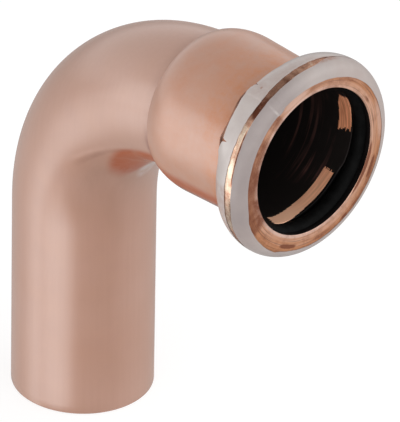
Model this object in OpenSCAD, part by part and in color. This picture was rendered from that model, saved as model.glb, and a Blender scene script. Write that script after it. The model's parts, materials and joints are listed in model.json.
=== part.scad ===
// Press elbow in copper: a plain tube end, a quarter bend and a beaded press socket with its seal ring
// and a thin indicator film on the bead. The plain end points down and the socket opens towards +X.

/* [Tube] */
// Outside diameter of the plain end, and of the tube that the socket takes
tube_od = 22; // [20:0.5:24]
// Wall of the plain end and of the bend
tube_wall = 1.2; // [1:0.05:1.3]
// Straight length of the plain end, from its cut face to the bend
plain_length = 32.5; // [26:0.5:45]
// Centreline radius of the bend
bend_radius = 27.7; // [26:0.1:34]

/* [Socket] */
// Radial clearance between the socket's bore and the tube that goes in
socket_clearance = 0.2; // [0.15:0.05:0.3]
// Depth from the lip's face to the tube stop at the end of the bend
insertion_depth = 20.9; // [19:0.1:26]
// Wall of the socket just behind the bead
socket_wall = 1.35; // [1.2:0.05:1.6]
// Length of the shoulder where the tube swells into the socket
shoulder_length = 5.7; // [4.5:0.1:6.5]
// Distance that the shoulder starts back along the bend from the tube stop
shoulder_setback = 3.3; // [2.5:0.1:3.6]
// Extra radius at the shoulder's end, over the socket just behind the bead
shoulder_swell = 0.35; // [0.1:0.05:0.5]

/* [Bead] */
// Length of the bead along the socket, from its rear foot to the lip's face
bead_length = 6.6; // [6.4:0.1:7.2]
// Height of the bead's crest over the socket
bead_height = 3.4; // [3.3:0.1:4]
// Distance from the crest to the lip's face
crest_setback = 2.5; // [2.2:0.1:2.9]
// Drop from the crest to the outer edge of the lip's flat face
crest_drop = 2; // [1.6:0.1:2.4]
// Thickness of the lip in front of the seal
lip_wall = 0.9; // [0.8:0.05:1.1]
// Radial room by which the lip's mouth is wider than the socket's bore
mouth_relief = 0.6; // [0.4:0.1:0.8]
// Radius of the mouth's rounded edge
mouth_edge = 0.4; // [0.2:0.1:0.6]

/* [Seal ring] */
// Thickness of the ring's round section
seal_section = 2.8; // [2.6:0.1:3]
// Height by which the ring stands into the bore
seal_stand = 0.15; // [0.05:0.05:0.15]
// Clearance between the ring and its groove
seal_clearance = 0.05; // [0.05:0.01:0.1]

/* [Indicator film] */
// Thickness of the film
film_thickness = 0.15; // [0.1:0.05:0.2]
// Clearance between the film and the bead
film_clearance = 0.03; // [0.02:0.01:0.05]
// Angle round the bead at which the rear band starts (0 is the foot, 90 the crest, 180 the lip)
rear_band_start = 20; // [12:1:30]
// Angle round the bead at which the rear band ends
rear_band_end = 91; // [84:1:97]
// Angle round the bead at which the front band starts
front_band_start = 114; // [106:1:124]
// Distance that the front band turns in over the lip's flat face
front_band_turn = 0.4; // [0.2:0.1:0.6]

/* [Hidden] */
$fn = 96;

copper = [0.72, 0.45, 0.36];
rubber = [0.06, 0.06, 0.06];
film = [0.78, 0.77, 0.77];

// A cutting tool runs this far past the face that it opens
overrun = 1;

// Tube and waterway
tube_r = tube_od / 2;
waterway_r = tube_r - tube_wall;
axis_height = plain_length + bend_radius;

// Radii of the socket
bore_r = tube_r + socket_clearance;
socket_r = bore_r + socket_wall;
shoulder_r = socket_r + shoulder_swell;
mouth_r = bore_r + mouth_relief;

// The shoulder's curve starts inside the tube's wall, so that the two surfaces cross cleanly
shoulder_root_r = tube_r - tube_wall / 2;

// Places along the socket's axis, measured from the plain end's axis
stop_x = bend_radius;
lip_x = stop_x + insertion_depth;
shoulder_x = stop_x - shoulder_setback;
foot_x = lip_x - bead_length;
crest_x = lip_x - crest_setback;
crest_r = socket_r + bead_height;
lip_r = crest_r - crest_drop;

// The seal sits against the lip, and stands into the bore by seal_stand
seal_r = seal_section / 2;
groove_r = seal_r + seal_clearance;
seal_x = lip_x - lip_wall - groove_r;
seal_ring_r = bore_r - seal_stand + seal_r;

// Faces of the film, measured out from the bead
film_inside = film_clearance;
film_outside = film_clearance + film_thickness;

// Steps in degrees along the curves of the profile
shoulder_step = 9;
bead_step = 7.5;
groove_step = 15;
edge_step = 22.5;

// Point on the bead's outside at an angle from 0 (foot) over 90 (crest) to 180 (lip), moved out by off.
// The back of the bead is a quarter of one ellipse, and its front a quarter of another.
function bead_point(angle, off = 0) =
    let (
        back = angle <= 90,
        half_x = back ? crest_x - foot_x : crest_setback,
        half_r = back ? bead_height : crest_drop,
        base_r = back ? socket_r : lip_r,
        nx = -half_r * cos(angle),
        nr = half_x * sin(angle),
        size = sqrt(nx * nx + nr * nr)
    )
    [
        base_r + half_r * sin(angle) + off * nr / size,
        crest_x - half_x * cos(angle) + off * nx / size
    ];

// Points on the bead's outside between two angles
function bead_curve(from, to, step, off = 0) =
    let (count = ceil((to - from) / step))
    [for (i = [0 : count]) bead_point(from + (to - from) * i / count, off)];

// Points in the reverse order
function reversed(points) =
    [for (i = [len(points) - 1 : -1 : 0]) points[i]];

// Turns a profile of [radius, place along the axis] into a solid on the socket's axis
module on_socket_axis() {
    translate([0, 0, axis_height])
        rotate([0, 90, 0])
            rotate_extrude()
                children();
}

// Quarter bend as a solid rod of radius r, from the top of the plain end to the tube stop
module bend_rod(r) {
    translate([bend_radius, 0, plain_length])
        rotate([90, 0, 0])
            rotate_extrude(angle = -90)
                translate([-bend_radius, 0])
                    circle(r = r);
}

// Straight tube from the cut face up to the bend
module plain_end() {
    difference() {
        cylinder(r = tube_r, h = plain_length);
        translate([0, 0, -overrun])
            cylinder(r = waterway_r, h = plain_length + 2 * overrun);
    }
}

// Outside of the shoulder, socket, bead and lip
module socket_outside() {
    shoulder = [
        for (a = [0 : shoulder_step : 90])
            [
                shoulder_root_r + (shoulder_r - shoulder_root_r) * sin(a),
                shoulder_x + shoulder_length * (1 - cos(a))
            ]
    ];
    on_socket_axis()
        polygon(concat(
            [[0, shoulder_x]],
            shoulder,
            bead_curve(0, 180, bead_step),
            [[0, lip_x]]
        ));
}

// Bore that takes the tube, from the stop out through the lip's rounded mouth
module socket_bore() {
    groove_front = seal_x + groove_r;
    rounded_edge = [
        for (a = [0 : edge_step : 90])
            [mouth_r + mouth_edge * (1 - cos(a)), lip_x - mouth_edge * (1 - sin(a))]
    ];
    on_socket_axis()
        polygon(concat(
            [[0, stop_x], [bore_r, stop_x], [bore_r, groove_front], [mouth_r, groove_front]],
            rounded_edge,
            [[mouth_r + mouth_edge, lip_x + overrun], [0, lip_x + overrun]]
        ));
}

// Groove under the bead: straight sides, with a round top that follows the seal
module seal_groove() {
    round_top = [
        for (a = [180 : -groove_step : 0])
            [seal_ring_r + groove_r * sin(a), seal_x + groove_r * cos(a)]
    ];
    on_socket_axis()
        polygon(concat(
            [[waterway_r, seal_x - groove_r]],
            round_top,
            [[waterway_r, seal_x + groove_r]]
        ));
}

// Bend and socket in one wall
module bend_and_socket() {
    difference() {
        union() {
            bend_rod(tube_r);
            socket_outside();
        }
        bend_rod(waterway_r);
        socket_bore();
        seal_groove();
    }
}

// One-piece copper wall: plain end, bend, shoulder, socket, bead and lip
module fitting_body() {
    color(copper) {
        plain_end();
        bend_and_socket();
    }
}

// Round-section rubber ring in the bead's groove
module seal_ring() {
    color(rubber)
        on_socket_axis()
            translate([seal_ring_r, seal_x])
                circle(d = seal_section);
}

// Film band on the back of the bead, up to the crest
module indicator_band_rear() {
    color(film)
        on_socket_axis()
            polygon(concat(
                bead_curve(rear_band_start, rear_band_end, bead_step, film_inside),
                reversed(bead_curve(rear_band_start, rear_band_end, bead_step, film_outside))
            ));
}

// Film band on the front of the bead, turned in over the lip
module indicator_band_front() {
    turned_r = lip_r - front_band_turn;
    color(film)
        on_socket_axis()
            polygon(concat(
                bead_curve(front_band_start, 180, bead_step, film_inside),
                [[turned_r, lip_x + film_inside], [turned_r, lip_x + film_outside]],
                reversed(bead_curve(front_band_start, 180, bead_step, film_outside))
            ));
}

fitting_body();
seal_ring();
indicator_band_rear();
indicator_band_front();
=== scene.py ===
import json
import math

import bpy
import numpy as np
from mathutils import Matrix, Vector

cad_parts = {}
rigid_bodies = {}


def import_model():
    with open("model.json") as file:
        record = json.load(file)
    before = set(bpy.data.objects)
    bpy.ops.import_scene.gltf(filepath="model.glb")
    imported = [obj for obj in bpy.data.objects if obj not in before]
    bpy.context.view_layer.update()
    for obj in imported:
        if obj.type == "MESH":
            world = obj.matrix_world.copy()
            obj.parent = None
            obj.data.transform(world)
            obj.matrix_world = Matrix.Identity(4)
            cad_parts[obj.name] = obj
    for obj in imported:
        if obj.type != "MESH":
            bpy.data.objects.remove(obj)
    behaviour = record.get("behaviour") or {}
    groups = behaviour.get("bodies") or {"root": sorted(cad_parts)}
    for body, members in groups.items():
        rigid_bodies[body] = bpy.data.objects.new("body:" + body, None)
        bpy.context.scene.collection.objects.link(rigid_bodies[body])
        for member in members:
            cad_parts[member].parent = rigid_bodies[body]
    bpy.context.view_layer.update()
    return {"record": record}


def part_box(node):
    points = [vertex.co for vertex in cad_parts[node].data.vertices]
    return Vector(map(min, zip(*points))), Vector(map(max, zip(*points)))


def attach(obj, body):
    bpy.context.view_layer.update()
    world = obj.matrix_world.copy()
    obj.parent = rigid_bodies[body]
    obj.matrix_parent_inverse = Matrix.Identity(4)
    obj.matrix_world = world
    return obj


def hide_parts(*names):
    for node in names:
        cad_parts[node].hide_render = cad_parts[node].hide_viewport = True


for leftover in list(bpy.data.objects):
    bpy.data.objects.remove(leftover)
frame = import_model()

MM = 0.001
BODY = "root"

# Sizes that the frame gives
mounts = {m["name"]: m for m in frame["record"]["mounts"]}
TUBE_R = mounts["plain_end"]["dims"]["r_mm"] * MM
PLAIN_LENGTH = mounts["plain_end"]["dims"]["length_mm"] * MM
BORE_R = mounts["socket"]["dims"]["r_mm"] * MM
STOP_X = mounts["socket"]["pos_m"][0]
AXIS_Z = mounts["socket"]["pos_m"][2]
BEND_R = STOP_X
LAND_X = STOP_X + mounts["socket"]["dims"]["length_mm"] * MM
LIP_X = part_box("fitting_body")[1][0]
CREST_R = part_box("fitting_body")[1][1]
SEAL_X = (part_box("seal_ring")[0][0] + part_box("seal_ring")[1][0]) / 2
SEAL_HALF = (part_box("seal_ring")[1][0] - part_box("seal_ring")[0][0]) / 2
SEAL_RING_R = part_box("seal_ring")[1][1] - SEAL_HALF

# Sizes of the copper wall
TUBE_WALL = 1.2 * MM
SOCKET_WALL = 1.35 * MM
SHOULDER_SWELL = 0.35 * MM
SHOULDER_LENGTH = 5.7 * MM
SHOULDER_SETBACK = 3.3 * MM
BEAD_LENGTH = 6.6 * MM
CREST_SETBACK = 2.5 * MM
CREST_DROP = 2.0 * MM
MOUTH_RELIEF = 0.6 * MM
MOUTH_ROUND = 0.08 * MM
CUT_EDGE = 0.15 * MM
FOOT_FILLET = 0.45 * MM
LAND_EDGE = 0.15 * MM

WATERWAY_R = TUBE_R - TUBE_WALL
SOCKET_R = BORE_R + SOCKET_WALL
SHOULDER_R = SOCKET_R + SHOULDER_SWELL
SHOULDER_ROOT_R = TUBE_R - TUBE_WALL / 2
SHOULDER_X = STOP_X - SHOULDER_SETBACK
FOOT_X = LIP_X - BEAD_LENGTH
CREST_X = LIP_X - CREST_SETBACK
LIP_R = CREST_R - CREST_DROP
MOUTH_R = BORE_R + MOUTH_RELIEF
GROOVE_R = SEAL_X - LAND_X

# Tight corner at the inside of the bend: the power of its curve, and where it starts and is full,
# from 0 at the bend's sides to 1 at its innermost line
CORNER_POWER = 2.5
CORNER_START, CORNER_FULL = 0.4, 0.9

# Bend angles between which the bend runs into the shoulder, and the halvings that find the place
CREASE_FROM, CREASE_TO = 60, 90
CREASE_HALVINGS = 40

# Points round each ring, and rings along each stretch
AROUND = 240
CUT_RINGS = 4
PLAIN_RINGS = 26
BEND_RINGS = 73
SHOULDER_RINGS = 29
NECK_RINGS = 18
FILLET_RINGS = 7
BEAD_RINGS = 76
LIP_RINGS = 14
FACE_RINGS = 15
MOUTH_RINGS = 11
GROOVE_RINGS = 24
LAND_EDGE_RINGS = 6
LAND_RINGS = 24
BORE_RINGS = 15
STOP_RINGS = 5
INNER_BEND_RINGS = 42
INNER_PLAIN_RINGS = 10
SEAL_RINGS = 48
FILM_COLUMNS = 720
FILM_RINGS = 22
SHARP_ANGLE = 40

# A table below pairs turns in degrees with values. Turns run round the socket's axis: 0 is up and 270
# is toward -Y. Angles round the bead run from 0 at its foot over 90 at its crest to 180 at the lip. A
# pair of numbers is where a soft edge starts and is full.

# Height in mm by which the bead's back swells beside the film's seam, and its edges round the bead
BULGE = (
    (282, 287, 293, 297, 306, 312, 322, 327, 335, 343, 352),
    (0.0, 0.15, 0.56, 0.78, 0.62, 0.68, 0.93, 0.8, 0.35, 0.18, 0.0),
)
BULGE_RISE, BULGE_FALL = (8, 22), (42, 78)

# Film on the bead. Beyond 180, each degree is a step in over the lip's face.
FILM_GAP = 0.03 * MM
FILM_THICKNESS = 0.15 * MM
FACE_STEP = 0.03 * MM
REAR_START = (
    (40, 70, 200, 250, 287, 292, 296.7, 297.5, 298.3,
     305, 322, 327, 332.3, 333, 333.7, 343, 352, 370),
    (38, 20, 20, 24, 29, 48, 56, 67, 56,
     51, 51, 49, 47, 58, 47, 41, 37, 38),
)
REAR_END = (
    (15, 170, 200, 232, 250, 262, 275, 310, 318, 325, 340, 362),
    (102, 99, 90, 84, 82, 86, 87, 89, 92, 95, 95, 97),
)
FRONT_START = (
    (15, 170, 200, 240, 250, 262, 275, 290, 310, 318, 325, 340, 362),
    (105, 102, 98, 97, 103, 111, 114, 114, 112, 114, 116, 120, 122),
)
FRONT_END = (
    (20, 40, 52, 75, 95, 112, 140, 160, 182, 200, 208, 212,
     240, 249, 255, 262, 300, 315, 324, 326, 332, 345, 360),
    (196, 186, 181, 179, 177, 178, 176, 177, 173, 170, 165, 157,
     165, 167, 176, 181, 184, 187, 189, 197, 190, 195, 199),
)
REAR_SEED, FRONT_SEED = 3, 11
START_WAVES = (3, 5, 9, 17, 31, 53)
END_WAVES = (2, 5, 11, 19, 37, 61)
WAVE_SIZES = (0.4, 1)
WANDER = 0.8

# The film's seam and its lap, in degrees of turn, and how much thinner the film is beside the lap
SEAM_TURN = 325
SEAM_LINE, SEAM_LENGTH = (0.3, 0.8), (118, 165)
LAP_WIDTH, LAP_SOFT = 6, 1
LAP_STEP = 0.5 * FILM_THICKNESS

# Where the film is worn, and where painted shade makes it dull; a patch is a turn, a place across, half
# sizes and a strength
WORN_FILM = (
    (252, 258, 272, 275, 320, 332, 365, 385),
    (0.0, 0.45, 0.5, 0.0, 0.0, 0.35, 0.35, 0.0),
)
WORN_RISE, WORN_FALL = (40, 52), (90, 96)
SHADED_FILM = (
    (40, 195, 205, 222, 238, 250, 335, 358),
    (0.0, 0.5, 0.6, 0.2, 0.5, 1.0, 1.0, 0.0),
)
SHADE_RISE = (92, 100)
FILM_PATCHES = ((332, 71, 1.0, 2.5, 1.0), (10, 109, 12, 12, 0.8))
PATCH_REACH, PATCH_SOFT = 1.4, 0.7

# Painted light at the inside of the bend, by bend angle and by turn round its section, where 180 is the
# innermost line: the orange spot of painted reflection with its lower, left and top edges, the pale spot
# of painted highlight, and the fold, a real ridge with painted shade under it
SPOT_LOW = ((36, 40, 47, 55, 62, 75, 90), (198, 192, 189, 195, 200, 219, 230))
SPOT_LOW_EDGE = (-4, 5)
SPOT_LEFT = ((196, 204, 215, 221, 240), (38, 37, 39, 43, 60))
SPOT_LEFT_EDGE = (-5, 6)
SPOT_TOP_EDGE = (235, 245)
HIGHLIGHT_SPOT = (181, 39.5, 8.5, 7, 0.85)
FOLD = ((34, 43, 51, 58, 66, 72), (252, 247.5, 244.5, 243, 242, 241.5))
FOLD_RISE, FOLD_FALL = (32, 42), (64, 74)
FOLD_HALF = 4
FOLD_HEIGHT = 0.06 * MM
FOLD_SHADE = 0.22

# Painted shade in the crease between bend and shoulder: its tones at the bend's outside and inside,
# where they change, and its edges as shares of the bend and of the shoulder
CREASE_SHADE_TONES = (0.15, 1.0)
CREASE_SIDES = (-0.1, 0.5)
CREASE_BEFORE, CREASE_AFTER = (0.965, 1), (0, 0.08)

# Orange painted reflection on the socket's underside, and the dark line of painted shade along its
# lowest part, from 0 at the socket's sides to 1 at its lowest line
UNDER_REFLECTION_EDGE, UNDER_SHADE_EDGE = (0.36, 0.54), (0.60, 0.70)

# Orange tinge on the socket: its level on the shoulder, and how far from the bead's foot it starts to
# grow below and above, and is full
TINGE_LOW = 0.42
TINGE_BELOW, TINGE_ABOVE, TINGE_FULL = 5 * MM, 11 * MM, 1.5 * MM
TINGE_SIDES = (0.1, 0.8)
# Painted shade in the fillet at the bead's foot
FOOT_SHADE = 0.8

# Brown on the bead: along its bare strip, stains and painted shade, and where it is low the pale base
# shows as a painted highlight; at the front film's edge, the film's painted shadow; and on its back,
# stains and painted shade
BEAD_STAIN_AND_SHADE = (
    (20, 60, 200, 232, 242, 246, 253, 261, 265, 268, 272,
     280, 286, 290, 294, 308, 313, 317, 326, 330, 342, 352),
    (0.5, 0.4, 0.3, 0.3, 0.32, 0.22, 0.22, 0.2, 0.35, 0.45, 0.25,
     0.1, 0.0, 0.12, 0.3, 0.2, 0.45, 1.0, 1.0, 0.8, 0.7, 0.55),
)
BEAD_EDGE_SHADOW = ((240, 276, 280, 304, 308, 340), (0.3, 0.3, 1.0, 1.0, 0.3, 0.3))
BEAD_EDGE_SHADOW_RISE = (-7, -4)
BACK_STAIN_AND_SHADE = (
    (20, 200, 285, 294, 297, 300, 316, 322, 342, 352),
    (0.8, 0.8, 0.55, 0.6, 1.0, 0.6, 0.6, 0.9, 1.0, 0.8),
)
BACK_FALL = (70, 80)

# The lip starts at this angle round the bead. Its patches are given by turn and by radius in mm.
LIP_FROM = 150
LIP_OUTSIDE_R = LIP_R + 0.6 * MM
LIP_STAIN = (
    (10, 40, 70, 105, 120, 140, 175, 212, 236, 240, 247,
     252, 275, 300, 306, 309, 313, 316, 325, 327, 345),
    (0.3, 0.3, 0.1, 0.1, 0.25, 0.35, 0.25, 0.15, 0.35, 0.85, 0.9,
     0.9, 0.82, 0.7, 0.6, 0.1, 0.1, 0.6, 0.65, 0.0, 0.1),
)
# Brown stain patches; the one at turn 118, on the mouth's edge, is a painted shadow
LIP_PATCHES = (
    (203, 13.6, 7, 0.35, 1.3),
    (116, 13.3, 8, 0.3, 1.1),
    (152, 13.8, 3, 0.25, 1.2),
    (172, 13.6, 8, 0.35, 0.7),
    (248, 12.9, 1.3, 1.0, 1.1),
    (297, 13.4, 2, 0.4, 1.1),
    (321, 12.9, 4, 0.7, 0.8),
    (263, 13.9, 13, 0.3, 0.9),
    (232, 13.6, 7, 0.45, 0.35),
    (5, 12.9, 12, 0.4, 0.5),
    (32, 13.3, 5, 0.3, 0.5),
    (60, 12.5, 4, 0.2, 0.9),
    (135, 13.8, 18, 0.25, 0.7),
    (118, 12.1, 20, 0.3, 1.3),
)
# Pale rim along the mouth's edge, a painted highlight, and pale patches on the lip's face
RIM_HIGHLIGHT = ((20, 60, 130, 165, 225, 350), (0.25, 0.15, 0.1, 0.6, 0.8, 0.7))
RIM_HIGHLIGHT_RISE = (0.8, 0.87)
PALE_PATCHES = ((341, 13.0, 11, 0.6, 0.6), (82, 13.7, 14, 0.4, 0.5))

# Degrees by which the groove wraps the seal; the land starts where the groove ends
FULL_WRAP = 230
GROOVE_WRAP = ((120, 132, 165, 180, 195), (FULL_WRAP, 197, 197, 212, FULL_WRAP))

# Strips of painted light on the land, bright copper in the dark bore: turns, how far behind the land's
# front they start and how wide they are, both in mm, and how many degrees further they reach at the
# front
PAINTED_LIGHT_STRIPS = (
    (
        (60, 72, 97),
        (0.0, 0.0, 0.2),
        (1.5, 2.5, 2.6),
        -4,
    ),
    (
        (130, 150, 165, 175, 183, 192, 199),
        (0.4, 0.4, 0.42, 0.24, 0.04, 0.0, 0.0),
        (2.1, 2.1, 2.1, 2.2, 2.3, 2.2, 2.1),
        6,
    ),
)
BRIGHT_LAND = 3.1 * MM
LAND_END = SEAL_X + GROOVE_R * math.cos(math.radians(FULL_WRAP)) - BRIGHT_LAND
# How much painted light pales the strip's copper, growing toward its lower end
LAND_LIGHT_SHARE = ((120, 131, 165, 180, 199), (0.0, 0.3, 0.6, 1.0, 1.0))
RAGGED, RAGGED_SEED = 1.2, 5

# Materials of the copper wall, in the order of its slots, and its marks
SATIN, BEAD, LIP, LAND, INNER = range(5)
# Marks: corner carries painted reflection, pale painted highlight and painted light besides pale
# patches, crease painted shade, and stain both stains and painted shade
COPPER_MARKS = ("corner", "crease", "tinge", "pale", "stain", "inward")


# Shapes


def mix(a, b, t):
    return a + (b - a) * t


def ramp(value, low, high):
    """0 up to low and 1 from high on, with a smooth rise between them."""
    t = np.clip((value - low) / (high - low), 0, 1)
    return t * t * (3 - 2 * t)


def between(value, rise, fall):
    """1 from the end of the rise to the start of the fall, and 0 outside them."""
    return ramp(value, *rise) * (1 - ramp(value, *fall))


def by_turn(degrees, table):
    return np.interp(degrees, *table, period=360)


def signed(degrees):
    """The same turn, between -180 and 180."""
    return (degrees + 180) % 360 - 180


def azimuths(count=AROUND):
    return np.arange(count) * (2 * math.pi / count)


def arc(count, start, stop):
    return np.radians(np.linspace(start, stop, count))


def after(start, stop, count):
    """Even steps from start to stop, without start, which the stretch before has."""
    return np.linspace(start, stop, count)[1:]


def socket_ring(r, x, turn):
    """Points at radius r and place x on the socket's axis; turn 0 is up."""
    r, x, turn = np.broadcast_arrays(r, x, turn)
    return np.stack([x, r * np.sin(turn), AXIS_Z + r * np.cos(turn)], axis=-1)


def bend_ring(r, angle, turn):
    """Points at radius r on the bend's section, at an angle from 0 (plain end) to a quarter (stop).

    Turn 0 is the bend's outside. Its inside turns in a tighter corner than a circle."""
    angle, turn = np.broadcast_arrays(angle, turn)
    power = CORNER_POWER
    tight = (np.cos(angle) ** power + np.sin(angle) ** power) ** (-1 / power)
    inside = ramp(-np.cos(turn), CORNER_START, CORNER_FULL)
    reach = (BEND_R + r * np.cos(turn)) * mix(1, tight, inside)
    x = BEND_R - reach * np.cos(angle)
    z = PLAIN_LENGTH + reach * np.sin(angle)
    return np.stack([x, r * np.sin(turn), z], axis=-1)


def tube_ring(r, z, turn):
    """Points at radius r and height z on the plain end."""
    r, z, turn = np.broadcast_arrays(r, z, turn)
    return np.stack([-r * np.cos(turn), r * np.sin(turn), z], axis=-1)


def bead_point(angle, off=0.0):
    """Radius and place of the bead's outside at an angle in degrees, moved out by off."""
    t = np.radians(angle)
    back = t <= math.pi / 2
    half_x = np.where(back, CREST_X - FOOT_X, LIP_X - CREST_X)
    half_r = np.where(back, CREST_R - SOCKET_R, CREST_R - LIP_R)
    base_r = np.where(back, SOCKET_R, LIP_R)
    nx = -half_r * np.cos(t)
    nr = half_x * np.sin(t)
    size = np.hypot(nx, nr)
    r = base_r + half_r * np.sin(t) + off * nr / size
    x = CREST_X - half_x * np.cos(t) + off * nx / size
    return r, x


def bulge(degrees, angle):
    """Height by which the bead's back stands out beside the film's seam."""
    return by_turn(degrees, BULGE) * MM * between(angle, BULGE_RISE, BULGE_FALL)


def shoulder_radius(x):
    t = np.clip((x - SHOULDER_X) / SHOULDER_LENGTH, 0, 1)
    return mix(SHOULDER_ROOT_R, SHOULDER_R, np.sqrt(1 - (1 - t) ** 2))


def crease_angles(turn):
    """Bend angle at which the bend's outside runs into the shoulder, for each turn."""
    low = np.full(turn.shape, math.radians(CREASE_FROM))
    high = np.full(turn.shape, math.radians(CREASE_TO))
    for _ in range(CREASE_HALVINGS):
        middle = (low + high) / 2
        p = bend_ring(TUBE_R, middle, turn)
        outside = np.hypot(p[:, 1], p[:, 2] - AXIS_Z) > shoulder_radius(p[:, 0])
        outside |= p[:, 0] < SHOULDER_X
        low = np.where(outside, middle, low)
        high = np.where(outside, high, middle)
    return (low + high) / 2


def mark(turn, across, patch):
    """Soft oval mark at a turn and a place across, with its half sizes and strength."""
    at_turn, at_across, half_turn, half_across, strength = patch
    away = np.hypot(signed(turn - at_turn) / half_turn, (across - at_across) / half_across)
    return strength * ramp(PATCH_REACH - away, 0, PATCH_SOFT)


def with_patches(tone, patches, turn, across):
    """The tone, or that of a patch where it is stronger."""
    for patch in patches:
        tone = np.maximum(tone, mark(turn, across, patch))
    return tone


class Wall:
    """The copper wall: rings of points, a material for each strip, and the marks at each point."""

    def __init__(self):
        self.turn = azimuths()
        self.crease = crease_angles(self.turn)
        self.meet = bend_ring(TUBE_R, self.crease, self.turn)
        self.socket_turn = np.unwrap(np.arctan2(self.meet[:, 1], self.meet[:, 2] - AXIS_Z))
        self.degrees = np.degrees(self.socket_turn) % 360
        # Painted reflection under the socket, painted shade along its lowest line, and painted shade in
        # the crease
        self.under_reflection = ramp(-np.cos(self.socket_turn), *UNDER_REFLECTION_EDGE)
        self.under_shade = ramp(-np.cos(self.socket_turn), *UNDER_SHADE_EDGE)
        self.crease_shade = mix(*CREASE_SHADE_TONES, ramp(-np.cos(self.turn), *CREASE_SIDES))
        self.wrap = np.radians(np.interp(self.degrees, *GROOVE_WRAP))
        self.rings, self.kinds = [], []
        self.marks = {name: [] for name in COPPER_MARKS}

    def add(self, points, kind, **tones):
        self.rings.append(points)
        self.kinds.append(kind)
        for name, values in self.marks.items():
            values.append(np.broadcast_to(tones.get(name, 0.0), self.turn.shape))

    def on_tube(self, r, z, kind):
        self.add(tube_ring(r, z, self.turn), kind)

    def on_bend(self, r, angle, kind, **tones):
        self.add(bend_ring(r, angle, self.turn), kind, **tones)

    def on_socket(self, r, x, kind, **tones):
        self.add(socket_ring(r, x, self.socket_turn), kind, **tones)


def add_plain_end(wall):
    for a in arc(CUT_RINGS, 0, 90):
        wall.on_tube(TUBE_R - CUT_EDGE * (1 - np.sin(a)), CUT_EDGE * (1 - np.cos(a)), SATIN)
    for z in after(CUT_EDGE, PLAIN_LENGTH, PLAIN_RINGS):
        wall.on_tube(TUBE_R, z, SATIN)


def add_bend(wall):
    """Outside of the bend up to the crease, with the spots and the fold at its inside."""
    inside_turn = 180 + np.abs(np.degrees(wall.turn) - 180)
    for share in after(0, 1, BEND_RINGS):
        bend = np.degrees(wall.crease * share)
        # Orange spot of painted reflection at the bend's inside
        spot = ramp(inside_turn - np.interp(bend, *SPOT_LOW), *SPOT_LOW_EDGE)
        spot = spot * (1 - ramp(inside_turn, *SPOT_TOP_EDGE))
        spot = spot * ramp(bend - np.interp(inside_turn, *SPOT_LEFT), *SPOT_LEFT_EDGE)
        above_fold = inside_turn - np.interp(bend, *FOLD)
        fold_length = between(bend, FOLD_RISE, FOLD_FALL)
        fold = fold_length * (1 - ramp(np.abs(above_fold), 0, FOLD_HALF))
        under_fold = fold_length * (1 - ramp(np.abs(above_fold + FOLD_HALF), 0, FOLD_HALF))
        # Painted shade in the crease by the shoulder and under the fold
        line = np.maximum(wall.crease_shade * ramp(share, *CREASE_BEFORE), FOLD_SHADE * under_fold)
        wall.on_bend(
            TUBE_R + FOLD_HEIGHT * fold, wall.crease * share, SATIN,
            corner=spot, pale=mark(inside_turn, bend, HIGHLIGHT_SPOT), crease=line)


def add_shoulder(wall):
    start = np.arccos(1 - (wall.meet[:, 0] - SHOULDER_X) / SHOULDER_LENGTH)
    for share in after(0, 1, SHOULDER_RINGS):
        a = mix(start, math.pi / 2, share)
        r = mix(SHOULDER_ROOT_R, SHOULDER_R, np.sin(a))
        x = SHOULDER_X + SHOULDER_LENGTH * (1 - np.cos(a))
        # Painted shade along the socket's lowest line and in the crease
        line = np.maximum(wall.under_shade, wall.crease_shade * (1 - ramp(share, *CREASE_AFTER)))
        tinge = TINGE_LOW * ramp(share, 0, 1)
        wall.on_socket(r, x, SATIN, corner=wall.under_reflection, crease=line, tinge=tinge)


def add_neck(wall):
    """Socket between shoulder and bead, and the fillet at the bead's foot."""
    neck = after(0, 1, NECK_RINGS)
    above = ramp(np.cos(wall.socket_turn), *TINGE_SIDES)
    tinge_from = mix(FOOT_X - TINGE_BELOW, FOOT_X - TINGE_ABOVE, above)
    radii = mix(SHOULDER_R, SOCKET_R, neck)
    places = mix(SHOULDER_X + SHOULDER_LENGTH, FOOT_X - FOOT_FILLET, neck)
    for r, x in zip(radii, places):
        tinge = mix(TINGE_LOW, 1, ramp(x, tinge_from, FOOT_X - TINGE_FULL))
        wall.on_socket(r, x, SATIN, corner=wall.under_reflection, crease=wall.under_shade, tinge=tinge)
    for a in arc(FILLET_RINGS, 0, 90)[1:]:
        r = SOCKET_R + FOOT_FILLET * (1 - np.cos(a))
        x = FOOT_X - FOOT_FILLET * (1 - np.sin(a))
        # Painted shade in the fillet at the bead's foot
        wall.on_socket(r, x, SATIN, corner=wall.under_reflection, crease=FOOT_SHADE, tinge=1.0)


def add_bead(wall):
    start = math.degrees(math.asin(FOOT_FILLET / (CREST_R - SOCKET_R)))
    stain = by_turn(wall.degrees, BEAD_STAIN_AND_SHADE)
    front_edge = by_turn(wall.degrees, FRONT_START)
    edge_shadow = by_turn(wall.degrees, BEAD_EDGE_SHADOW)
    back_tone = by_turn(wall.degrees, BACK_STAIN_AND_SHADE)
    for angle in after(start, LIP_FROM, BEAD_RINGS):
        # Darker toward the bead's foot, stains and painted shade, and the front film edge's painted
        # shadow
        at_back = back_tone * (1 - ramp(angle, *BACK_FALL))
        at_edge_shadow = edge_shadow * ramp(angle - front_edge, *BEAD_EDGE_SHADOW_RISE)
        r, x = bead_point(angle, bulge(wall.degrees, angle))
        wall.on_socket(r, x, BEAD, stain=np.maximum(stain, np.maximum(at_back, at_edge_shadow)))


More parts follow.
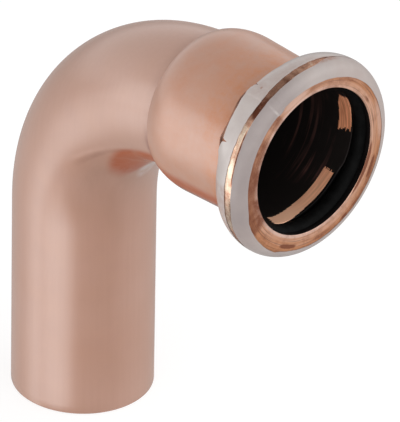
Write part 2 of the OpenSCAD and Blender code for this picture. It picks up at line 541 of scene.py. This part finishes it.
def add_lip(wall):
    """Lip from the bead's front in to the mouth's edge."""
    edge = arc(MOUTH_RINGS, 0, 90)[1:]
    profile = [
        *zip(*bead_point(after(LIP_FROM, 180, LIP_RINGS))),
        *((r, LIP_X) for r in after(LIP_R, MOUTH_R + MOUTH_ROUND, FACE_RINGS)),
        *zip(MOUTH_R + MOUTH_ROUND * (1 - np.sin(edge)), LIP_X - MOUTH_ROUND * (1 - np.cos(edge))),
    ]
    for r, x in profile:
        stain = by_turn(wall.degrees, LIP_STAIN)
        stain = with_patches(stain, LIP_PATCHES, wall.degrees, r / MM)
        inward = (LIP_OUTSIDE_R - r) / (LIP_OUTSIDE_R - MOUTH_R)
        # Pale rim along the mouth's edge: a painted highlight
        pale = by_turn(wall.degrees, RIM_HIGHLIGHT) * ramp(inward, *RIM_HIGHLIGHT_RISE)
        pale = with_patches(pale, PALE_PATCHES, wall.degrees, r / MM)
        wall.on_socket(r, x, LIP, stain=stain, inward=inward, pale=pale)
    wall.kinds[-1] = INNER


def add_groove(wall):
    # The groove is painted black: painted shade
    for r in (MOUTH_R, SEAL_RING_R):
        wall.on_socket(r, SEAL_X + GROOVE_R, INNER, stain=1.0)
    for share in after(0, 1, GROOVE_RINGS):
        r = SEAL_RING_R + GROOVE_R * np.sin(wall.wrap * share)
        x = SEAL_X + GROOVE_R * np.cos(wall.wrap * share)
        wall.on_socket(r, x, INNER, stain=1.0)


def add_land(wall):
    """Land behind the seal, with strips of painted light, and black painted shade between a strip and
    the seal.
    """
    front = SEAL_X + GROOVE_R * np.cos(wall.wrap)
    rows = [
        (BORE_R + LAND_EDGE * (1 - math.sin(a)), front - LAND_EDGE * (1 - math.cos(a)))
        for a in arc(LAND_EDGE_RINGS, 0, 90)
    ]
    rows += [(BORE_R, mix(front - LAND_EDGE, LAND_END, share)) for share in after(0, 1, LAND_RINGS)]
    ragged = np.random.default_rng(RAGGED_SEED).uniform(-RAGGED, RAGGED, (len(rows), 2))
    pale = np.interp(wall.degrees, *LAND_LIGHT_SHARE)
    for (r, x), (shift_low, shift_high) in zip(rows, ragged):
        # Bright strips of painted light, and black painted shade between a strip and the seal
        bright = np.zeros(wall.turn.shape, dtype=bool)
        black = np.zeros(wall.turn.shape, dtype=bool)
        for turns, starts, widths, lean in PAINTED_LIGHT_STRIPS:
            behind = (front - x) / MM - np.interp(wall.degrees, turns, starts)
            end = turns[-1] + shift_high + lean * (1 - (front - x) / BRIGHT_LAND)
            inside = (wall.degrees > turns[0] + shift_low) & (wall.degrees < end)
            width = np.interp(wall.degrees, turns, widths)
            bright |= inside & (behind >= 0) & (behind < width)
            black |= inside & (behind < 0)
        wall.on_socket(r, x, np.where(bright, LAND, INNER), pale=pale, stain=black)
    wall.kinds[-1] = INNER


def add_waterway(wall):
    """Bore, tube stop and waterway, back to the cut end."""
    for x in after(LAND_END, STOP_X, BORE_RINGS):
        wall.on_socket(BORE_R, x, INNER)
    for r in after(BORE_R, WATERWAY_R, STOP_RINGS)[:-1]:
        wall.on_socket(r, STOP_X, INNER)
    for a in arc(INNER_BEND_RINGS, 90, 0):
        wall.on_bend(WATERWAY_R, a, INNER)
    for z in after(PLAIN_LENGTH, CUT_EDGE, INNER_PLAIN_RINGS):
        wall.on_tube(WATERWAY_R, z, INNER)
    for a in arc(CUT_RINGS, 0, 90)[1:]:
        wall.on_tube(WATERWAY_R + CUT_EDGE * (1 - np.cos(a)), CUT_EDGE * (1 - np.sin(a)), SATIN)


def copper_wall():
    """The wall in one loop: up the outside, over the bead, in at the mouth and down the waterway."""
    wall = Wall()
    add_plain_end(wall)
    add_bend(wall)
    add_shoulder(wall)
    add_neck(wall)
    add_bead(wall)
    add_lip(wall)
    add_groove(wall)
    add_land(wall)
    add_waterway(wall)
    return wall


def wander(turn, seed, waves):
    """Smooth closed wander round the ring, from a few waves."""
    rng = np.random.default_rng(seed)
    total = np.zeros_like(turn)
    for wave in waves:
        total += rng.uniform(*WAVE_SIZES) * np.sin(wave * turn + rng.uniform(0, 2 * math.pi))
    return WANDER * total / math.sqrt(len(waves))


def film_point(angle, off):
    r, x = bead_point(np.minimum(angle, 180), off)
    return r - FACE_STEP * np.maximum(angle - 180, 0), x


def film_rings(start, end, seed):
    """Closed sections of a film band round the bead, and its marks.

    Its edges wander, and its outside steps where the film laps at the seam."""
    turn = azimuths(FILM_COLUMNS)
    degrees = np.degrees(turn)
    start = by_turn(degrees, start) + wander(turn, seed, START_WAVES)
    end = by_turn(degrees, end) + wander(turn, seed + 1, END_WAVES)
    after_seam = (degrees - SEAM_TURN) % 360
    lap = between(after_seam, (0, LAP_SOFT), (LAP_WIDTH - LAP_SOFT, LAP_WIDTH))
    outside_off = FILM_GAP + FILM_THICKNESS - LAP_STEP * (1 - lap)
    worn = by_turn(degrees, WORN_FILM)
    film_shade = by_turn(degrees, SHADED_FILM)
    beside_seam = 1 - ramp(np.abs(signed(after_seam)), *SEAM_LINE)
    outside, inside = [], []
    marks = {"wear": [], "seam": [], "dull": []}
    for share in np.linspace(0, 1, FILM_RINGS):
        angle = mix(start, end, share)
        swell = bulge(degrees, angle)
        outside.append(socket_ring(*film_point(angle, outside_off + swell), turn))
        inside.append(socket_ring(*film_point(angle, FILM_GAP + swell), turn))
        wear = worn * between(angle, WORN_RISE, WORN_FALL)
        marks["wear"].append(with_patches(wear, FILM_PATCHES, degrees, angle))
        marks["seam"].append(beside_seam * ramp(angle, *SEAM_LENGTH))
        # Dull: grey of painted shade toward the lip
        marks["dull"].append(film_shade * ramp(angle, *SHADE_RISE))
    both_faces = {name: values + values[::-1] for name, values in marks.items()}
    return outside + inside[::-1], both_faces


def seal_rings():
    turn = azimuths()
    return [
        socket_ring(SEAL_RING_R + SEAL_HALF * np.sin(a), SEAL_X + SEAL_HALF * np.cos(a), turn)
        for a in azimuths(SEAL_RINGS)
    ]


def add_object(name, data):
    made = bpy.data.objects.new(name, data)
    bpy.context.scene.collection.objects.link(made)
    return made


def grid_object(name, rings, materials, strip_materials):
    """Closed surface from rings that follow each other round a loop.

    Each ring gives the material of the strip from it to the next, for the strip or face by face."""
    rings = np.asarray(rings)
    count, around = rings.shape[:2]
    i, j = np.meshgrid(np.arange(count), np.arange(around), indexing="ij")
    i2, j2 = (i + 1) % count, (j + 1) % around
    corners = [i * around + j, i * around + j2, i2 * around + j2, i2 * around + j]
    quads = np.stack(corners, axis=-1).reshape(-1, 4)
    points = rings.reshape(-1, 3)
    a, b, c = points[quads[:, 0]], points[quads[:, 1]], points[quads[:, 2]]
    if np.einsum("ij,ij->", a, np.cross(b, c)) < 0:
        quads = quads[:, ::-1]
    mesh = bpy.data.meshes.new(name)
    mesh.from_pydata(points.tolist(), [], quads.tolist())
    for material in materials:
        mesh.materials.append(material)
    kinds = np.stack([np.broadcast_to(kind, around) for kind in strip_materials])
    mesh.polygons.foreach_set("material_index", kinds.ravel().astype(np.int32))
    mesh.polygons.foreach_set("use_smooth", np.ones(len(quads), dtype=bool))
    mesh.set_sharp_from_angle(angle=math.radians(SHARP_ANGLE))
    return add_object(name, mesh)


# Materials: colours are linear, noise scales are per metre, and a pair is the least and the most

MIDDLE = (0.3, 0.7)
WHOLE = (0.0, 1.0)
EVEN = (1, 1, 1)
DRAWN_LINES = (1, 1, 0.04)
DRAWN_GRAIN = (1, 1, 0.3)

SATIN_DEEP = (0.565, 0.32, 0.228)
SATIN_LIGHT = (0.605, 0.365, 0.278)
SATIN_LINE = (0.52, 0.285, 0.20)
SATIN_TINGE = (0.64, 0.255, 0.10)
# Painted light on the satin copper: orange painted reflection, pale painted highlight, brown painted
# shade
REFLECTED_ORANGE = (0.50, 0.115, 0.035)
HIGHLIGHT_PALE = (0.78, 0.70, 0.67)
CREASE_SHADE_BROWN = (0.24, 0.06, 0.025)
# Bead colours: the pale base is a painted highlight; the browns are stains and painted shade
BEAD_HIGHLIGHT_PALE = (0.94, 0.79, 0.62)
BEAD_BROWN = (0.58, 0.32, 0.22)
BEAD_DARK = (0.14, 0.045, 0.025)
SCRATCH_BROWN = (0.22, 0.085, 0.05)
LIP_ORANGE = (0.62, 0.27, 0.13)
LIP_LIGHT = (0.77, 0.43, 0.29)
LIP_PALE = (0.88, 0.62, 0.52)
LIP_BROWN = (0.25, 0.076, 0.034)
# Land colours: bright copper of painted light, streaked, and paler still toward the strip's lower end
LAND_BRIGHT = (0.90, 0.39, 0.21)
LAND_STREAK = (0.50, 0.17, 0.08)
LAND_PAINTED_LIGHT = (1.0, 0.57, 0.37)
INNER_DARK = (0.02, 0.016, 0.015)
INNER_RING = (0.125, 0.058, 0.05)
# Black of painted shade in the seal's groove and before the land's strips
SHADE_BLACK = (0.006, 0.005, 0.005)
# The front film's colours are a darker copy of the rear film's: painted shade
REAR_PALE, REAR_CLOUD = (0.55, 0.485, 0.455), (0.48, 0.41, 0.385)
FRONT_SHADED_PALE, FRONT_SHADED_CLOUD = (0.43, 0.375, 0.355), (0.385, 0.33, 0.312)
REAR_GLOSS, FRONT_GLOSS = 1.0, 0.15
FILM_WARM = (0.40, 0.29, 0.25)
# Grey of painted shade on the film toward the lip
FILM_SHADE_GREY = (0.30, 0.252, 0.243)
FILM_WORN = (0.32, 0.16, 0.115)
FILM_SEAM = (0.5, 0.45, 0.43)
RUBBER_DEEP, RUBBER_LIGHT = (0.002, 0.002, 0.002), (0.005, 0.005, 0.005)


def link_or_set(tree, socket, value):
    if isinstance(value, bpy.types.NodeSocket):
        tree.links.new(value, socket)
    else:
        socket.default_value = value


def node(tree, kind, settings=None, **inputs):
    """Adds a node, sets its settings, and links or sets its inputs, by name or by number as i0."""
    made = tree.nodes.new(kind)
    for key, value in (settings or {}).items():
        setattr(made, key, value)
    for key, value in inputs.items():
        numbered = key[0] == "i" and key[1:].isdigit()
        socket = made.inputs[int(key[1:]) if numbered else key.replace("_", " ")]
        link_or_set(tree, socket, value)
    return made


def new_material(name, **values):
    material = bpy.data.materials.new(name)
    material.use_nodes = True
    shader = material.node_tree.nodes["Principled BSDF"]
    for key, value in values.items():
        shader.inputs[key.replace("_", " ")].default_value = value
    return material, material.node_tree, shader


def maths(tree, operation, first, second):
    return node(tree, "ShaderNodeMath", {"operation": operation}, i0=first, i1=second).outputs[0]


def vector_maths(tree, operation, first, second):
    made = node(tree, "ShaderNodeVectorMath", {"operation": operation}, i0=first, i1=second)
    return made.outputs[0]


def spread(tree, value, within, levels=WHOLE):
    """Spreads the part of a value that lies within two limits over two levels."""
    made = node(
        tree, "ShaderNodeMapRange", Value=value,
        From_Min=within[0], From_Max=within[1], To_Min=levels[0], To_Max=levels[1])
    return made.outputs[0]


def blend_colour(tree, share, first, second):
    made = node(tree, "ShaderNodeMix", {"data_type": "RGBA"}, i0=share)
    for index, value in ((6, first), (7, second)):
        colour = (*value, 1) if isinstance(value, tuple) else value
        link_or_set(tree, made.inputs[index], colour)
    return made.outputs[2]


def attribute(tree, name):
    return node(tree, "ShaderNodeAttribute", {"attribute_name": name}).outputs["Fac"]


def noise(tree, scale, detail, roughness=0.5, stretch=EVEN):
    place = node(tree, "ShaderNodeTexCoord").outputs["Object"]
    mapped = node(tree, "ShaderNodeMapping", Vector=place, Scale=stretch).outputs[0]
    made = node(
        tree, "ShaderNodeTexNoise",
        Vector=mapped, Scale=scale, Detail=detail, Roughness=roughness)
    return made.outputs["Fac"]


def ring_noise(tree, fine, coarse, detail=3.0):
    """Noise drawn out round the socket's axis: fine across the rings, coarse along them."""
    place = node(tree, "ShaderNodeTexCoord").outputs["Object"]
    aside = vector_maths(tree, "SUBTRACT", place, (0, 0, AXIS_Z))
    flat = vector_maths(tree, "MULTIPLY", aside, (0, 1, 1))
    length = node(tree, "ShaderNodeVectorMath", {"operation": "LENGTH"}, i0=flat)
    along = node(tree, "ShaderNodeSeparateXYZ", Vector=place).outputs["X"]
    across = maths(tree, "SUBTRACT", length.outputs["Value"], along)
    across = maths(tree, "MULTIPLY", across, fine)
    slow = vector_maths(tree, "MULTIPLY", flat, (0, coarse, coarse))
    fast = node(tree, "ShaderNodeCombineXYZ", X=across).outputs[0]
    joined = vector_maths(tree, "ADD", slow, fast)
    made = node(tree, "ShaderNodeTexNoise", Vector=joined, Scale=1.0, Detail=detail)
    return made.outputs["Fac"]


def cloud(tree, scale, detail, roughness=0.5, within=MIDDLE, levels=WHOLE, stretch=EVEN):
    return spread(tree, noise(tree, scale, detail, roughness, stretch), within, levels)


def add_mark(tree, colour, name, uneven, tone):
    """Blends a colour to a tone where a mark is, unevenly."""
    share = maths(tree, "MULTIPLY", attribute(tree, name), uneven)
    return blend_colour(tree, share, colour, tone)


def dress(tree, shader, colour, rough):
    tree.links.new(colour, shader.inputs["Base Color"])
    tree.links.new(rough, shader.inputs["Roughness"])


def bump(tree, shader, height, depth):
    made = node(tree, "ShaderNodeBump", Height=height, Distance=depth, Strength=1.0)
    tree.links.new(made.outputs[0], shader.inputs["Normal"])


def satin_copper():
    """Drawn copper with a dull sheen: cloudy, with faint lines, an orange tinge, and painted reflection,
    highlight and shade.
    """
    material, tree, shader = new_material(
        "satin copper", Metallic=0.6, Coat_Weight=1.0, Coat_Roughness=0.26, Coat_IOR=2.06)
    clouds = cloud(tree, scale=130, detail=5, roughness=0.6)
    colour = blend_colour(tree, clouds, SATIN_DEEP, SATIN_LIGHT)
    lines = cloud(
        tree, scale=1500, detail=3, within=(0.35, 0.65), levels=(0.0, 0.15), stretch=DRAWN_LINES)
    colour = blend_colour(tree, lines, colour, SATIN_LINE)
    patchy = cloud(
        tree, scale=260, detail=7, roughness=0.7, within=(0.35, 0.62), levels=(0.4, 1.1))
    colour = add_mark(tree, colour, "tinge", patchy, SATIN_TINGE)
    ragged = cloud(
        tree, scale=420, detail=5, roughness=0.65, within=(0.3, 0.5), levels=(0.75, 1.0))
    # Orange painted reflection at the bend's inside and under the socket
    colour = add_mark(tree, colour, "corner", ragged, REFLECTED_ORANGE)
    highlight_uneven = cloud(
        # Pale painted highlight at the bend's inside
        tree, scale=500, detail=4, roughness=0.6, within=(0.35, 0.6), levels=(0.2, 0.6))
    colour = add_mark(tree, colour, "pale", highlight_uneven, HIGHLIGHT_PALE)
    # Brown painted shade in the creases, under the fold and along the socket's lowest line
    shade_uneven = cloud(
        tree, scale=600, detail=4, roughness=0.6, within=(0.3, 0.55), levels=(0.5, 0.9))
    colour = add_mark(tree, colour, "crease", shade_uneven, CREASE_SHADE_BROWN)
    dress(tree, shader, colour, cloud(tree, scale=260, detail=5, levels=(0.7, 0.85)))
    grain = noise(tree, scale=2600, detail=4, roughness=0.6, stretch=DRAWN_GRAIN)
    bump(tree, shader, grain, 0.008 * MM)
    return material


def bead_copper():
    """Glossy copper of the rolled bead: a pale base that is a painted highlight, brown with stains and
    painted shade.
    """
    material, tree, shader = new_material("glossy bead copper", Metallic=1.0)
    uneven = cloud(tree, scale=600, detail=6, roughness=0.65, levels=(-0.3, 0.3))
    stain = maths(tree, "ADD", attribute(tree, "stain"), uneven)
    # Pale base as a painted highlight; brown where stains and painted shade are
    colour = blend_colour(tree, spread(tree, stain, (0.0, 0.5)), BEAD_HIGHLIGHT_PALE, BEAD_BROWN)
    colour = blend_colour(tree, spread(tree, stain, (0.5, 1.0)), colour, BEAD_DARK)
    streak = spread(tree, ring_noise(tree, fine=9000, coarse=220), (0.45, 0.75), (0.0, 0.35))
    colour = blend_colour(tree, streak, colour, SCRATCH_BROWN)
    dress(tree, shader, colour, cloud(tree, scale=900, detail=4, levels=(0.14, 0.3)))
    bump(tree, shader, ring_noise(tree, fine=14000, coarse=300), 0.012 * MM)
    return material


def lip_copper():
    """Turned-in lip: pale at the mouth with a painted highlight on its edge, orange outside, scratched
    in rings, with brown stains and painted shade.
    """
    material, tree, shader = new_material(
        "worn lip copper", Metallic=0.6, Coat_Weight=0.15, Coat_Roughness=0.15, Coat_IOR=1.6)
    wave = spread(tree, ring_noise(tree, fine=2500, coarse=90, detail=5), MIDDLE, (-0.3, 0.3))
    inward = maths(tree, "ADD", attribute(tree, "inward"), wave)
    colour = blend_colour(tree, spread(tree, inward, (0.3, 0.8)), LIP_ORANGE, LIP_LIGHT)
    rings = ring_noise(tree, fine=5000, coarse=150, detail=4)
    colour = blend_colour(tree, spread(tree, rings, (0.54, 0.68), (0.0, 0.7)), colour, SCRATCH_BROWN)
    # Pale of the rim's painted highlight and of the pale patches
    colour = blend_colour(tree, attribute(tree, "pale"), colour, LIP_PALE)
    uneven = cloud(tree, scale=450, detail=7, roughness=0.7, levels=(-0.4, 0.4))
    stain = maths(tree, "ADD", attribute(tree, "stain"), uneven)
    colour = blend_colour(tree, spread(tree, stain, (0.15, 1.0), (0.0, 0.95)), colour, LIP_BROWN)
    dress(tree, shader, colour, cloud(tree, scale=900, detail=4, levels=(0.32, 0.5)))
    bump(tree, shader, ring_noise(tree, fine=12000, coarse=200, detail=4), 0.02 * MM)
    return material


def land_copper():
    """Bright copper of the bore behind the seal, painted light, with fine rings."""
    material, tree, shader = new_material("bright land copper", Specular_IOR_Level=0.3)
    streak = spread(tree, ring_noise(tree, fine=3000, coarse=200, detail=5), (0.4, 0.65))
    colour = blend_colour(tree, streak, LAND_BRIGHT, LAND_STREAK)
    # Paler painted light toward the strip's lower end
    colour = blend_colour(tree, attribute(tree, "pale"), colour, LAND_PAINTED_LIGHT)
    dress(tree, shader, colour, cloud(tree, scale=900, detail=4, levels=(0.4, 0.55)))
    bump(tree, shader, ring_noise(tree, fine=12000, coarse=150), 0.015 * MM)
    return material


def inner_copper():
    """Near-black copper inside, with faint reddish rings, and black painted shade in the seal's groove
    and before the land's strips.
    """
    material, tree, shader = new_material(
        "dark inner copper", Metallic=0.4, Specular_IOR_Level=0.15)
    ring = spread(tree, ring_noise(tree, fine=1300, coarse=60), (0.54, 0.68))
    place = cloud(tree, scale=90, detail=3, within=(0.48, 0.62))
    colour = blend_colour(tree, maths(tree, "MULTIPLY", ring, place), INNER_DARK, INNER_RING)
    # Black painted shade in the groove and before the land's strips
    colour = blend_colour(tree, attribute(tree, "stain"), colour, SHADE_BLACK)
    dress(tree, shader, colour, cloud(tree, scale=800, detail=4, levels=(0.3, 0.45)))
    return material


def film_plastic(name, pale, clouded, gloss):
    """Pale film: cloudy, brown where it wore thin over the copper, greyer with painted shade, with fine
    wrinkles.
    """
    material, tree, shader = new_material(
        name, IOR=1.5, Coat_Weight=gloss, Coat_IOR=1.9, Coat_Roughness=0.25)
    clouds = cloud(tree, scale=260, detail=5, roughness=0.55, within=(0.3, 0.75))
    colour = blend_colour(tree, clouds, pale, clouded)
    warm = cloud(tree, scale=70, detail=4, within=(0.5, 0.72), levels=(0.0, 0.4))
    colour = blend_colour(tree, warm, colour, FILM_WARM)
    mottled = cloud(
        tree, scale=330, detail=6, roughness=0.6, within=(0.3, 0.65), levels=(0.75, 1.0))
    # Grey of painted shade toward the lip
    colour = add_mark(tree, colour, "dull", mottled, FILM_SHADE_GREY)
    uneven = cloud(
        tree, scale=900, detail=5, roughness=0.65, within=(0.35, 0.6), levels=(0.3, 1.0))
    colour = add_mark(tree, colour, "wear", uneven, FILM_WORN)
    colour = add_mark(tree, colour, "seam", uneven, FILM_SEAM)
    dress(tree, shader, colour, cloud(tree, scale=700, detail=4, levels=(0.4, 0.6)))
    bump(tree, shader, noise(tree, scale=600, detail=5, roughness=0.6), 0.06 * MM)
    return material


def black_rubber():
    """Lubricated black rubber, almost without shine."""
    material, tree, shader = new_material("black rubber", IOR=1.4, Specular_IOR_Level=0.08)
    colour = blend_colour(tree, cloud(tree, scale=900, detail=4), RUBBER_DEEP, RUBBER_LIGHT)
    dress(tree, shader, colour, cloud(tree, scale=1400, detail=3, levels=(0.5, 0.65)))
    bump(tree, shader, noise(tree, scale=2600, detail=3), 0.01 * MM)
    return material


# Pieces


def add_piece(cad_node, rings, materials, kinds, marks):
    """Skin that stands for a CAD node and rides on the body."""
    piece = grid_object(cad_node + "_skin", rings, materials, kinds)
    for name, values in marks.items():
        layer = piece.data.attributes.new(name, "FLOAT", "POINT")
        layer.data.foreach_set("value", np.ravel(values).astype(np.float32))
    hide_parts(cad_node)
    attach(piece, BODY)


def add_plain_piece(cad_node, rings, material, marks):
    add_piece(cad_node, rings, [material], [0] * len(rings), marks)


copper_set = [satin_copper(), bead_copper(), lip_copper(), land_copper(), inner_copper()]
rear_film = film_plastic("pale rear film", REAR_PALE, REAR_CLOUD, REAR_GLOSS)
# Darker colours for the front film: painted shade
front_film = film_plastic("pale front film", FRONT_SHADED_PALE, FRONT_SHADED_CLOUD, FRONT_GLOSS)

wall = copper_wall()
add_piece("fitting_body", wall.rings, copper_set, wall.kinds, wall.marks)
add_plain_piece("seal_ring", seal_rings(), black_rubber(), {})
for cad_node, start, end, seed, film in (
    ("indicator_band_rear", REAR_START, REAR_END, REAR_SEED, rear_film),
    ("indicator_band_front", FRONT_START, FRONT_END, FRONT_SEED, front_film),
):
    rings, marks = film_rings(start, end, seed)
    add_plain_piece(cad_node, rings, film, marks)


# Studio: a pale floor, soft light all round, and one softbox at the left

WHITE = (1, 1, 1, 1)
FLOOR_HALF = 1.5
FLOOR_GAP = 0.1 * MM
FLOOR_GREY = (0.3, 0.3, 0.3, 1)
FLOOR_GLOW = 0.78

# Light above the horizon at three heights, from the back half and from the front half
LIGHT_HEIGHTS = (0.15, 0.6, 0.95)
BACK_LIGHT = (0.95, 0.6, 0.45)
FRONT_LIGHT = (1.7, 1.5, 0.42)
SIDE_BLEND = (-0.35, 0.35)

# Light below the horizon: the table's levels from left to back and from near to far, and the shaded
# place's levels from front to right, with the directions between which each changes
TABLE_LEVELS, TABLE_FADE = (2.0, 0.5), (-0.82, -0.4)
TABLE_DISTANCES, TABLE_DEPTHS = (1.0, 0.58), (-0.38, -0.05)
SHADE_LEVELS, SHADE_FADE = (0.1, 0.42), (0.0, 0.65)
SHADE_LEFT_EDGE = (-0.46, -0.30)
SHADE_NEAR_EDGE = (-0.84, -0.70)
HORIZON = (-0.06, 0.06)

PART_MIDDLE = Vector((0.015, 0, 0.04))
SOFTBOX_AZIMUTH, SOFTBOX_ELEVATION = -128, 5
SOFTBOX_DISTANCE, SOFTBOX_SIZE = 0.9, 0.45
SOFTBOX_RADIANCE = 0.7

# Camera, at the place that the photograph was taken from
IMAGE_W, IMAGE_H = 400, 422
CAMERA_ELEVATION = 31.71
CAMERA_AZIMUTH = -44.98
CAMERA_ROLL = 1.02
CAMERA_DISTANCE = 1.4816
FOCAL_PIXELS = 9715.0
AIM_POINT = Vector((0, 0, 0.022))
AIM_PIXEL = (83.75, 253.83)
SENSOR_MM = 36.0
CLIP_START = 0.05


def direction(azimuth, elevation):
    a, e = math.radians(azimuth), math.radians(elevation)
    return Vector((math.cos(e) * math.cos(a), math.cos(e) * math.sin(a), math.sin(e)))


def white_floor():
    """Floor that glows almost white and keeps the shadow. The world has the table for reflections."""
    material = new_material(
        "white floor", Roughness=0.9, Specular_IOR_Level=0.0,
        Base_Color=FLOOR_GREY, Emission_Color=WHITE, Emission_Strength=FLOOR_GLOW)[0]
    sides = ((-1, -1), (1, -1), (1, 1), (-1, 1))
    corners = [(x * FLOOR_HALF, y * FLOOR_HALF, -FLOOR_GAP) for x, y in sides]
    mesh = bpy.data.meshes.new("floor")
    mesh.from_pydata(corners, [], [list(range(len(corners)))])
    mesh.materials.append(material)
    floor = add_object("floor", mesh)
    floor.visible_glossy = False


def studio_world():
    """Soft light all round, darker overhead, and stronger from the front half than from the back.

    Below the horizon it is the pale table as the part mirrors it, shaded under the camera."""
    world = bpy.data.worlds.new("studio")
    world.use_nodes = True
    tree = world.node_tree
    place = node(tree, "ShaderNodeTexCoord").outputs["Generated"]
    toward = node(tree, "ShaderNodeSeparateXYZ", Vector=place).outputs

    def blend(share, first, second):
        made = node(tree, "ShaderNodeMix", {"data_type": "FLOAT"}, i0=share, i2=first, i3=second)
        return made.outputs[0]

    levels = []
    for low, middle, high in (BACK_LIGHT, FRONT_LIGHT):
        lower = spread(tree, toward["Z"], LIGHT_HEIGHTS[:2], (0.0, middle - low))
        upper = spread(tree, toward["Z"], LIGHT_HEIGHTS[1:], (low, low + high - middle))
        levels.append(maths(tree, "ADD", lower, upper))
    above = blend(spread(tree, toward["X"], SIDE_BLEND), *levels)
    table = maths(
        tree, "MULTIPLY",
        spread(tree, toward["Y"], TABLE_FADE, TABLE_LEVELS),
        spread(tree, toward["Z"], TABLE_DEPTHS, TABLE_DISTANCES))
    shaded = maths(
        tree, "MULTIPLY",
        spread(tree, toward["X"], SHADE_LEFT_EDGE),
        spread(tree, toward["Y"], SHADE_NEAR_EDGE))
    below = blend(shaded, table, spread(tree, toward["Y"], SHADE_FADE, SHADE_LEVELS))
    level = blend(spread(tree, toward["Z"], HORIZON), below, above)
    background = tree.nodes["Background"]
    tree.links.new(level, background.inputs["Strength"])
    background.inputs["Color"].default_value = WHITE
    bpy.context.scene.world = world


def left_softbox():
    """Square lamp that looks at the part's middle, with the brightness that its face shows."""
    light = bpy.data.lights.new("left softbox", "AREA")
    light.size = SOFTBOX_SIZE
    light.energy = SOFTBOX_RADIANCE * math.pi * SOFTBOX_SIZE * SOFTBOX_SIZE
    made = add_object("left softbox", light)
    outward = direction(SOFTBOX_AZIMUTH, SOFTBOX_ELEVATION)
    made.location = PART_MIDDLE + outward * SOFTBOX_DISTANCE
    made.rotation_euler = outward.to_track_quat("Z", "Y").to_euler()


def make_camera():
    """Camera that shows the aim point at its pixel of the photograph."""
    azimuth, roll = math.radians(CAMERA_AZIMUTH), math.radians(CAMERA_ROLL)
    back = direction(CAMERA_AZIMUTH, CAMERA_ELEVATION)
    level = Vector((-math.sin(azimuth), math.cos(azimuth), 0))
    upright = back.cross(level)
    right = level * math.cos(roll) + upright * math.sin(roll)
    up = upright * math.cos(roll) - level * math.sin(roll)
    metres = CAMERA_DISTANCE / FOCAL_PIXELS
    aside = right * (IMAGE_W / 2 - AIM_PIXEL[0]) * metres
    aside += up * (AIM_PIXEL[1] - IMAGE_H / 2) * metres
    data = bpy.data.cameras.new("camera")
    data.sensor_width = SENSOR_MM
    data.lens = FOCAL_PIXELS / IMAGE_H * SENSOR_MM
    data.clip_start = CLIP_START
    camera = add_object("camera", data)
    turn = Matrix((right, up, back)).transposed().to_4x4()
    camera.matrix_world = Matrix.Translation(AIM_POINT + back * CAMERA_DISTANCE + aside) @ turn
    bpy.context.scene.camera = camera


white_floor()
studio_world()
left_softbox()
make_camera()
bpy.context.scene.view_settings.view_transform = "Standard"
